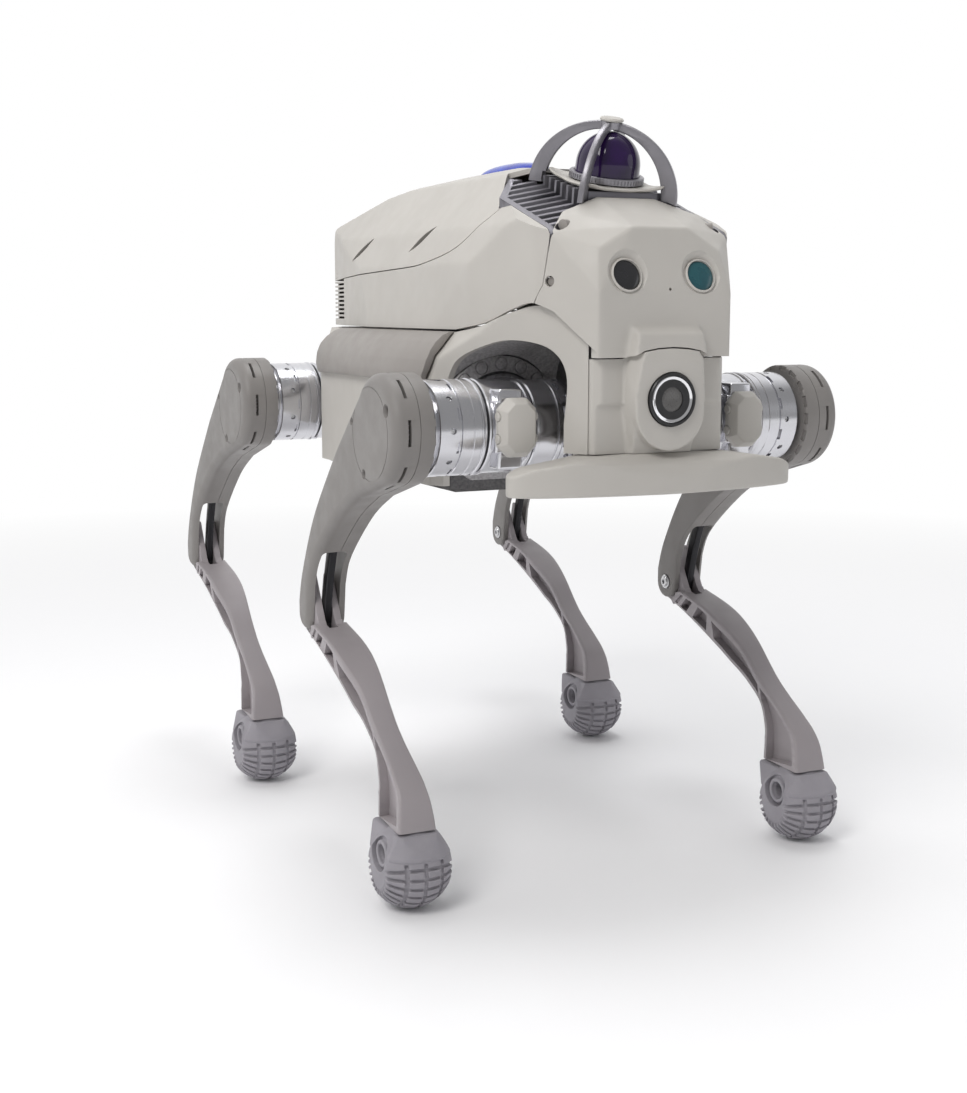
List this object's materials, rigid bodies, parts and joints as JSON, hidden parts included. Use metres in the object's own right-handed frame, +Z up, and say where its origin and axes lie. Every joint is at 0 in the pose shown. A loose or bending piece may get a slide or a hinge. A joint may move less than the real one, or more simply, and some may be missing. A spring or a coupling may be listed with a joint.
{
  "type": "quadruped robot dog",
  "caption": "Four-legged robot dog with a cream shell, caged dome lidar on the neck, silver hip motors and grey jointed legs on treaded ball feet, standing.",
  "frame": {"origin": "centre of the bounding box in plan, at the lowest point of the feet, standing pose", "axes": "+Z up; the head faces -Y; the robot's left side is +X, so X is the mirror axis; knees point backwards (+Y)"},
  "size_m": [0.454, 0.7106, 0.6547],
  "materials": {
    "cream_shell": "warm off-white moulded shell, fine matt texture",
    "taupe_flap": "taupe moulded flap, satin",
    "thigh_grey": "warm grey moulded leg cover",
    "shank_grey": "pinkish grey moulded shank, fine texture",
    "foot_rubber": "grey moulded rubber tread",
    "motor_silver": "machined and clear-anodised motor housing",
    "link_black": "black coated steel link",
    "charcoal_frame": "charcoal textured chassis",
    "battery_case": "black battery case",
    "heat_sink_metal": "grey anodised heat sink",
    "cage_grey": "grey satin guard",
    "lidar_window": "dark violet lidar window, glossy",
    "dark_lens": "black camera window",
    "teal_lens": "teal coated camera window",
    "camera_black": "black camera barrel",
    "back_light_lens": "deep blue glossy light bar"
  },
  "bodies": {
    "trunk": {"trunk_frame": "charcoal_frame", "battery_pack": "battery_case", "lower_body_shell": "cream_shell", "side_flap_right": "taupe_flap", "side_flap_left": "taupe_flap", "upper_side_shell": "cream_shell", "rear_top_cover": "cream_shell", "heat_sink": "heat_sink_metal", "back_light": "back_light_lens", "head_shell": "cream_shell", "jaw_shell": "cream_shell", "front_bumper": "cream_shell", "eye_right": "dark_lens", "eye_left": "teal_lens", "nose_camera": "camera_black", "lidar_mounting_plate": "cream_shell", "lidar_base_ring": "cage_grey", "lidar_dome": "lidar_window", "lidar_cage": "cage_grey", "lidar_cage_cap": "cream_shell", "front_right_abduction_motor": "charcoal_frame", "front_left_abduction_motor": "charcoal_frame", "rear_right_abduction_motor": "charcoal_frame", "rear_left_abduction_motor": "charcoal_frame"},
    "front_right_hip": {"front_right_hip_housing": "motor_silver", "front_right_hip_cover": "cream_shell", "front_right_hip_motor": "motor_silver", "front_right_knee_motor": "motor_silver"},
    "front_right_upper_leg": {"front_right_thigh": "thigh_grey"},
    "front_right_crank": {"front_right_knee_crank": "motor_silver"},
    "front_right_link": {"front_right_knee_link": "link_black"},
    "front_right_lower_leg": {"front_right_shank": "shank_grey", "front_right_foot": "foot_rubber"},
    "front_left_hip": {"front_left_hip_housing": "motor_silver", "front_left_hip_cover": "cream_shell", "front_left_hip_motor": "motor_silver", "front_left_knee_motor": "motor_silver"},
    "front_left_upper_leg": {"front_left_thigh": "thigh_grey"},
    "front_left_crank": {"front_left_knee_crank": "motor_silver"},
    "front_left_link": {"front_left_knee_link": "link_black"},
    "front_left_lower_leg": {"front_left_shank": "shank_grey", "front_left_foot": "foot_rubber"},
    "rear_right_hip": {"rear_right_hip_housing": "motor_silver", "rear_right_hip_cover": "cream_shell", "rear_right_hip_motor": "motor_silver", "rear_right_knee_motor": "motor_silver"},
    "rear_right_upper_leg": {"rear_right_thigh": "thigh_grey"},
    "rear_right_crank": {"rear_right_knee_crank": "motor_silver"},
    "rear_right_link": {"rear_right_knee_link": "link_black"},
    "rear_right_lower_leg": {"rear_right_shank": "shank_grey", "rear_right_foot": "foot_rubber"},
    "rear_left_hip": {"rear_left_hip_housing": "motor_silver", "rear_left_hip_cover": "cream_shell", "rear_left_hip_motor": "motor_silver", "rear_left_knee_motor": "motor_silver"},
    "rear_left_upper_leg": {"rear_left_thigh": "thigh_grey"},
    "rear_left_crank": {"rear_left_knee_crank": "motor_silver"},
    "rear_left_link": {"rear_left_knee_link": "link_black"},
    "rear_left_lower_leg": {"rear_left_shank": "shank_grey", "rear_left_foot": "foot_rubber"}
  },
  "joints": [
    {"name": "front_right_abduction", "type": "hinge", "parent": "trunk", "child": "front_right_hip", "pos_m": [-0.08, -0.24025, 0.396], "axis": [0, 1, 0], "range_deg": [-22, 28]},
    {"name": "front_right_hip_pitch", "type": "hinge", "parent": "front_right_hip", "child": "front_right_upper_leg", "pos_m": [-0.198, -0.24025, 0.396], "axis": [1, 0, 0], "range_deg": [-75, 60]},
    {"name": "front_right_knee", "type": "hinge", "parent": "front_right_upper_leg", "child": "front_right_lower_leg", "pos_m": [-0.198, -0.05675, 0.2125], "axis": [1, 0, 0], "range_deg": [-50, 45]},
    {"name": "front_right_knee_crank_turn", "type": "hinge", "parent": "front_right_upper_leg", "child": "front_right_crank", "pos_m": [-0.198, -0.24025, 0.396], "axis": [1, 0, 0], "range_deg": [-50, 45]},
    {"name": "front_right_knee_link_swing", "type": "hinge", "parent": "front_right_crank", "child": "front_right_link", "pos_m": [-0.198, -0.25156, 0.38469], "axis": [1, 0, 0], "range_deg": [-45, 50]},
    {"name": "front_left_abduction", "type": "hinge", "parent": "trunk", "child": "front_left_hip", "pos_m": [0.08, -0.24025, 0.396], "axis": [0, -1, 0], "range_deg": [-22, 28]},
    {"name": "front_left_hip_pitch", "type": "hinge", "parent": "front_left_hip", "child": "front_left_upper_leg", "pos_m": [0.198, -0.24025, 0.396], "axis": [1, 0, 0], "range_deg": [-75, 60]},
    {"name": "front_left_knee", "type": "hinge", "parent": "front_left_upper_leg", "child": "front_left_lower_leg", "pos_m": [0.198, -0.05675, 0.2125], "axis": [1, 0, 0], "range_deg": [-50, 45]},
    {"name": "front_left_knee_crank_turn", "type": "hinge", "parent": "front_left_upper_leg", "child": "front_left_crank", "pos_m": [0.198, -0.24025, 0.396], "axis": [1, 0, 0], "range_deg": [-50, 45]},
    {"name": "front_left_knee_link_swing", "type": "hinge", "parent": "front_left_crank", "child": "front_left_link", "pos_m": [0.198, -0.25156, 0.38469], "axis": [1, 0, 0], "range_deg": [-45, 50]},
    {"name": "rear_right_abduction", "type": "hinge", "parent": "trunk", "child": "rear_right_hip", "pos_m": [-0.08, 0.15575, 0.396], "axis": [0, 1, 0], "range_deg": [-22, 28]},
    {"name": "rear_right_hip_pitch", "type": "hinge", "parent": "rear_right_hip", "child": "rear_right_upper_leg", "pos_m": [-0.198, 0.15575, 0.396], "axis": [1, 0, 0], "range_deg": [-35, 75]},
    {"name": "rear_right_knee", "type": "hinge", "parent": "rear_right_upper_leg", "child": "rear_right_lower_leg", "pos_m": [-0.198, 0.33925, 0.2125], "axis": [1, 0, 0], "range_deg": [-50, 45]},
    {"name": "rear_right_knee_crank_turn", "type": "hinge", "parent": "rear_right_upper_leg", "child": "rear_right_crank", "pos_m": [-0.198, 0.15575, 0.396], "axis": [1, 0, 0], "range_deg": [-50, 45]},
    {"name": "rear_right_knee_link_swing", "type": "hinge", "parent": "rear_right_crank", "child": "rear_right_link", "pos_m": [-0.198, 0.14444, 0.38469], "axis": [1, 0, 0], "range_deg": [-45, 50]},
    {"name": "rear_left_abduction", "type": "hinge", "parent": "trunk", "child": "rear_left_hip", "pos_m": [0.08, 0.15575, 0.396], "axis": [0, -1, 0], "range_deg": [-22, 28]},
    {"name": "rear_left_hip_pitch", "type": "hinge", "parent": "rear_left_hip", "child": "rear_left_upper_leg", "pos_m": [0.198, 0.15575, 0.396], "axis": [1, 0, 0], "range_deg": [-35, 75]},
    {"name": "rear_left_knee", "type": "hinge", "parent": "rear_left_upper_leg", "child": "rear_left_lower_leg", "pos_m": [0.198, 0.33925, 0.2125], "axis": [1, 0, 0], "range_deg": [-50, 45]},
    {"name": "rear_left_knee_crank_turn", "type": "hinge", "parent": "rear_left_upper_leg", "child": "rear_left_crank", "pos_m": [0.198, 0.15575, 0.396], "axis": [1, 0, 0], "range_deg": [-50, 45]},
    {"name": "rear_left_knee_link_swing", "type": "hinge", "parent": "rear_left_crank", "child": "rear_left_link", "pos_m": [0.198, 0.14444, 0.38469], "axis": [1, 0, 0], "range_deg": [-45, 50]}
  ],
  "couplings": [
    {"joint": "front_right_knee_crank_turn", "follows": "front_right_knee", "ratio": 1},
    {"joint": "front_right_knee_link_swing", "follows": "front_right_knee", "ratio": -1},
    {"joint": "front_left_knee_crank_turn", "follows": "front_left_knee", "ratio": 1},
    {"joint": "front_left_knee_link_swing", "follows": "front_left_knee", "ratio": -1},
    {"joint": "rear_right_knee_crank_turn", "follows": "rear_right_knee", "ratio": 1},
    {"joint": "rear_right_knee_link_swing", "follows": "rear_right_knee", "ratio": -1},
    {"joint": "rear_left_knee_crank_turn", "follows": "rear_left_knee", "ratio": 1},
    {"joint": "rear_left_knee_link_swing", "follows": "rear_left_knee", "ratio": -1}
  ]
}
